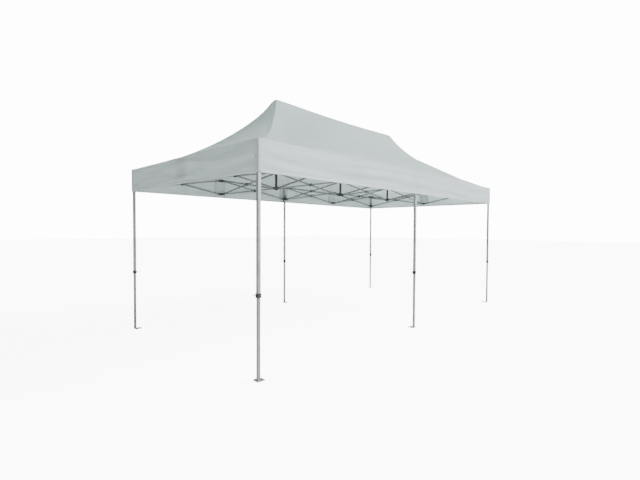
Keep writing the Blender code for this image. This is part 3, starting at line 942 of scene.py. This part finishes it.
def slope_rows(half_length, triangle, insets, columns, seed):
    """Rows of a slope at these distances in from the eave, which runs along X at Y = 0.

    In the UV map U is the place along the eave and V the length climbed up the slope's middle.
    """
    rows, uvs, climbed = [], [], 0.0
    before = None
    for inset in insets:
        half = max(half_length - inset, 0.0)
        row, flat = [], []
        z_middle = roof_height(inset, 0.0 if triangle else half)
        if before is not None:
            climbed += math.hypot(inset - before[0], z_middle - before[1])
        before = (inset, z_middle)
        for x in spread(half, columns):
            from_hip = half - abs(x)
            z = roof_height(inset, 0.0 if triangle else from_hip)
            z += slope_ripple(x, inset, from_hip, seed)
            on_hip = from_hip < SEAM - 0.0001
            on_ridge = not triangle and inset > DEPTH - SEAM + 0.0001
            if (on_hip or on_ridge) and inset > 0.002:  # the eave's own edge stays level
                z += SEAM_PROUD
            row.append((x, inset, z))
            flat.append((x, climbed))
        rows.append(row)
        uvs.append(flat)
    return rows, uvs


def hung_rows(places, levels, half, seed, inside, uv):
    """Rows that follow a valance's face, this far inside it, facing -Y at Y = 0, and their UVs."""
    rows = [
        [(x, -valance_ripple(x, EAVE_Z - z, half, seed) + inside, z) for x in places]
        for z in levels
    ]
    return rows, [[uv(x, z) for x in places] for z in levels]


def add_slope(side, half, triangle, columns, seed, body, place, fold):
    """A roof slope from the line where it hangs up to the ridge or the peak."""
    insets = [STRIP, STRIP + 0.004]
    rise = DEPTH - SEAM - STRIP
    insets += [STRIP + rise * k / SLOPE_STEPS for k in range(1, SLOPE_STEPS)]
    if triangle:
        insets += [DEPTH - 0.012, DEPTH - 0.004]
    else:
        insets += [DEPTH - SEAM, DEPTH - SEAM + 0.0012, DEPTH - 0.0005]
    rows, uvs = slope_rows(half, triangle, insets, columns, seed)
    slope = cloth_piece(f"roof_{side}", rows, uvs, ROOF_CLOTH)
    slope.matrix_world = place
    finish_piece(slope, body, (f"canopy_{side}",), fold)


def valance_sheet(side, half, triangle, columns, seed):
    """The valance, turned over the eave as far as the line where the slope hangs."""
    levels = evenly(HEM_Z, EAVE_Z - HEM_Z, VALANCE_STEPS)
    places = spread(half, columns)
    rows, uvs = hung_rows(places, levels, half, seed, 0, lambda x, z: (x, z - HEM_Z))
    insets = [0.006, 0.02, 0.04, 0.5 * STRIP, 0.09, 0.115, STRIP - 0.004, STRIP]
    top_rows, top_uvs = slope_rows(half, triangle, insets, columns, seed)
    top_uvs = [[(x, y + VALANCE_DEPTH) for x, y in row] for row in top_uvs]
    return cloth_piece(f"valance_{side}", rows + top_rows, uvs + top_uvs, VALANCE_CLOTH)


def valance_trims(side, half, triangle, columns, seed):
    """The hem, a tape over each corner seam whose darker colour is the painted shadow of the leg
    behind it, the patches where the truss is tied, darker as painted shade, and eyelets.
    """
    low = HEM_Z - 0.0005
    levels, places = evenly(low, HEM_Z + HEM - low, 4), centred(0, half, columns)
    rows, uvs = hung_rows(places, levels, half, seed, -0.0006, lambda x, z: (x, z - low))
    trims = [cloth_piece(f"hem_{side}", rows, uvs, HEM_CLOTH, 0.0028)]
    # painted shadow: a darker tape over each corner seam stands for the leg's shadow through the
    # cloth
    for end_name, end in ENDS:
        edge = end * (half - SHADOW_TAPE_WIDTH)
        left, right = sorted((end * half, edge))
        rows, uvs = hung_rows(
            evenly(left, right - left, 6), evenly(HEM_Z, VALANCE_DEPTH - 0.004, 12),
            half, seed, CLOTH + 0.0010, lambda x, z: (z - HEM_Z, abs(x - edge)),
        )
        name = f"corner_shadow_tape_{side}_{end_name}"
        trims.append(cloth_piece(name, rows, uvs, SHADED_PATCH_CLOTH, TRIM_THICK))
    # the tie patches are darker cloth as painted shade, for the light the doubled cloth holds back
    for k, tied in enumerate((0.0,) if triangle else (-UNIT, 0.0, UNIT)):
        rows, uvs = hung_rows(
            centred(tied, PATCH_HALF, 8), evenly(HEM_Z + 0.06, VALANCE_DEPTH - 0.075, 10),
            half, seed, CLOTH + 0.0009, lambda x, z: (z, x - tied + PATCH_HALF),
        )
        trims.append(
            cloth_piece(f"tie_patch_{side}_{k + 1}", rows, uvs, SHADED_PATCH_CLOTH, TRIM_THICK)
        )
        # webbing strips along the patch's edges, dark grey as painted shade for the bands they cast
        # through the cloth
        for end_name, end in ENDS:
            middle = tied + end * WEBBING_OUT
            rows, uvs = hung_rows(
                centred(middle, WEBBING_HALF, 3), evenly(HEM_Z + 0.03, VALANCE_DEPTH - 0.04, 10),
                half, seed, CLOTH + 0.0025, lambda x, z: (z, x - middle + WEBBING_HALF),
            )
            name = f"webbing_{side}_{k + 1}_{end_name}"
            trims.append(cloth_piece(name, rows, uvs, SHADED_WEBBING_CLOTH, 0.0012))
    for end_name, end in ENDS:
        trims.append(eyelet(f"eyelet_{side}_{end_name}", end * (half - EYELET_IN)))
    return trims


def add_canopy():
    # side, half length, triangle, centre, turn, body of the edge, squash axis, slope's anchor
    table = (
        ("front", EAVE_X, False, (0, -EAVE_Y, 0), 0, "outer_leg_front_middle", X, ORIGIN),
        ("back", EAVE_X, False, (0, EAVE_Y, 0), 180, "outer_leg_back_middle", X, (-UNIT, 0, 0)),
        ("left", EAVE_Y, True, (-EAVE_X, 0, 0), 270, "upper_connector_left_mid", Y, ORIGIN),
        ("right", EAVE_Y, True, (EAVE_X, 0, 0), 90, "upper_connector_right_mid", Y, ORIGIN),
    )
    for k, (side, half, triangle, at, turn, body, axis, anchor) in enumerate(table):
        place = Matrix.Translation(at) @ Matrix.Rotation(math.radians(turn), 4, "Z")
        seed, columns = 11.3 + 5.7 * k, SHORT_COLUMNS if triangle else LONG_COLUMNS
        cut = (side, half, triangle, columns, seed)
        add_slope(*cut, f"canopy_{side}", place, (axis, anchor))

        edge = valance_sheet(*cut)
        edge.matrix_world = place
        finish_piece(edge, body, (), (axis, ORIGIN))
        trims = valance_trims(*cut)
        for trim in trims:
            trim.matrix_world = place @ trim.matrix_world
            finish_piece(trim, body, (), (axis, ORIGIN))


def eyelet(name, x):
    """A rolled metal ring through the valance, facing -Y, with a thin black disc in its hole as
    painted shade.
    """
    centre = Vector((x, -0.0010, EAVE_Z - EYELET_DOWN))
    points = torus_points(centre, X, Z, Y, *EYELET, 24, 8)
    shells = Shells().add(points, torus_faces(24, 8, inwards=True))
    # painted shade: a thin black disc fills the ring's hole
    shells.rod(centre - Y * 0.0006, centre + Y * 0.0006, EYELET[0], 20, 1)
    return shells.build(name, (ZINC, PLASTIC))


# -------------------------------------------------------------- floor and light


FLOOR_HALF, FLOOR_Z = 60.0, -0.0005
FLOOR_SHADE = (0.90, 0.93)
FLOOR_GLOW, WALL_GLOW, SKY_GLOW = 9.0, 14.0, 0.46  # the first two only as the camera sees them
SKY_COLOUR = (0.93, 0.97, 1.0, 1)
WHITE = (1, 1, 1, 1)


def add_floor():
    n = Nodes("pale_floor")
    mottle = n.noise(n.coordinates.outputs["Object"], 0.6, 3.0)
    n.to_shader(Base_Color=n.between(mottle, *FLOOR_SHADE), Roughness=0.9)
    glow = n.add("ShaderNodeEmission", {"Color": WHITE, "Strength": FLOOR_GLOW})
    seen = n.add("ShaderNodeLightPath").outputs["Is Camera Ray"]
    dark = n.add("ShaderNodeEmission", {"Strength": 0.0})
    lit = n.add("ShaderNodeMixShader", {0: seen, 1: dark.outputs[0], 2: glow.outputs[0]})
    both = n.add("ShaderNodeAddShader", {0: n.shader.outputs[0], 1: lit.outputs[0]})
    n.to_surface(both.outputs[0])
    mesh = bpy.data.meshes.new("floor")
    corners = ((-1, -1), (1, -1), (1, 1), (-1, 1))
    points = [(a * FLOOR_HALF, b * FLOOR_HALF, FLOOR_Z) for a, b in corners]
    mesh.from_pydata(points, [], [(0, 1, 2, 3)])
    mesh.materials.append(n.material)
    link(bpy.data.objects.new("floor", mesh))


def add_world():
    world = bpy.data.worlds.new("studio")
    world.use_nodes = True
    tree = world.node_tree
    sky = tree.nodes["Background"]
    wall = tree.nodes.new("ShaderNodeBackground")
    for light, colour, strength in ((sky, SKY_COLOUR, SKY_GLOW), (wall, WHITE, WALL_GLOW)):
        light.inputs["Color"].default_value = colour
        light.inputs["Strength"].default_value = strength
    path = tree.nodes.new("ShaderNodeLightPath")
    mix = tree.nodes.new("ShaderNodeMixShader")
    tree.links.new(path.outputs["Is Camera Ray"], mix.inputs[0])
    tree.links.new(sky.outputs[0], mix.inputs[1])
    tree.links.new(wall.outputs[0], mix.inputs[2])
    tree.links.new(mix.outputs[0], tree.nodes["World Output"].inputs["Surface"])
    bpy.context.scene.world = world


def add_sun(name, energy, angle, towards, colour=(1, 1, 1)):
    sun = link(bpy.data.objects.new(name, bpy.data.lights.new(name, "SUN")))
    sun.data.energy = energy
    sun.data.angle = math.radians(angle)
    sun.data.color = colour
    sun.matrix_world = Vector(towards).to_track_quat("Z", "Y").to_matrix().to_4x4()


def add_stage():
    add_floor()
    add_world()
    add_sun("soft_key", 6.4, 24, (0.64, -0.50, 0.60), (1.0, 0.985, 0.97))
    # a low second light from the right shines along the right-hand faces of the legs
    add_sun("soft_side", 1.7, 26, (0.73, -0.66, 0.13))


add_camera()
add_truss()
add_connectors()
add_outer_legs()
add_inner_legs()
add_masts()
add_canopy()
add_stage()
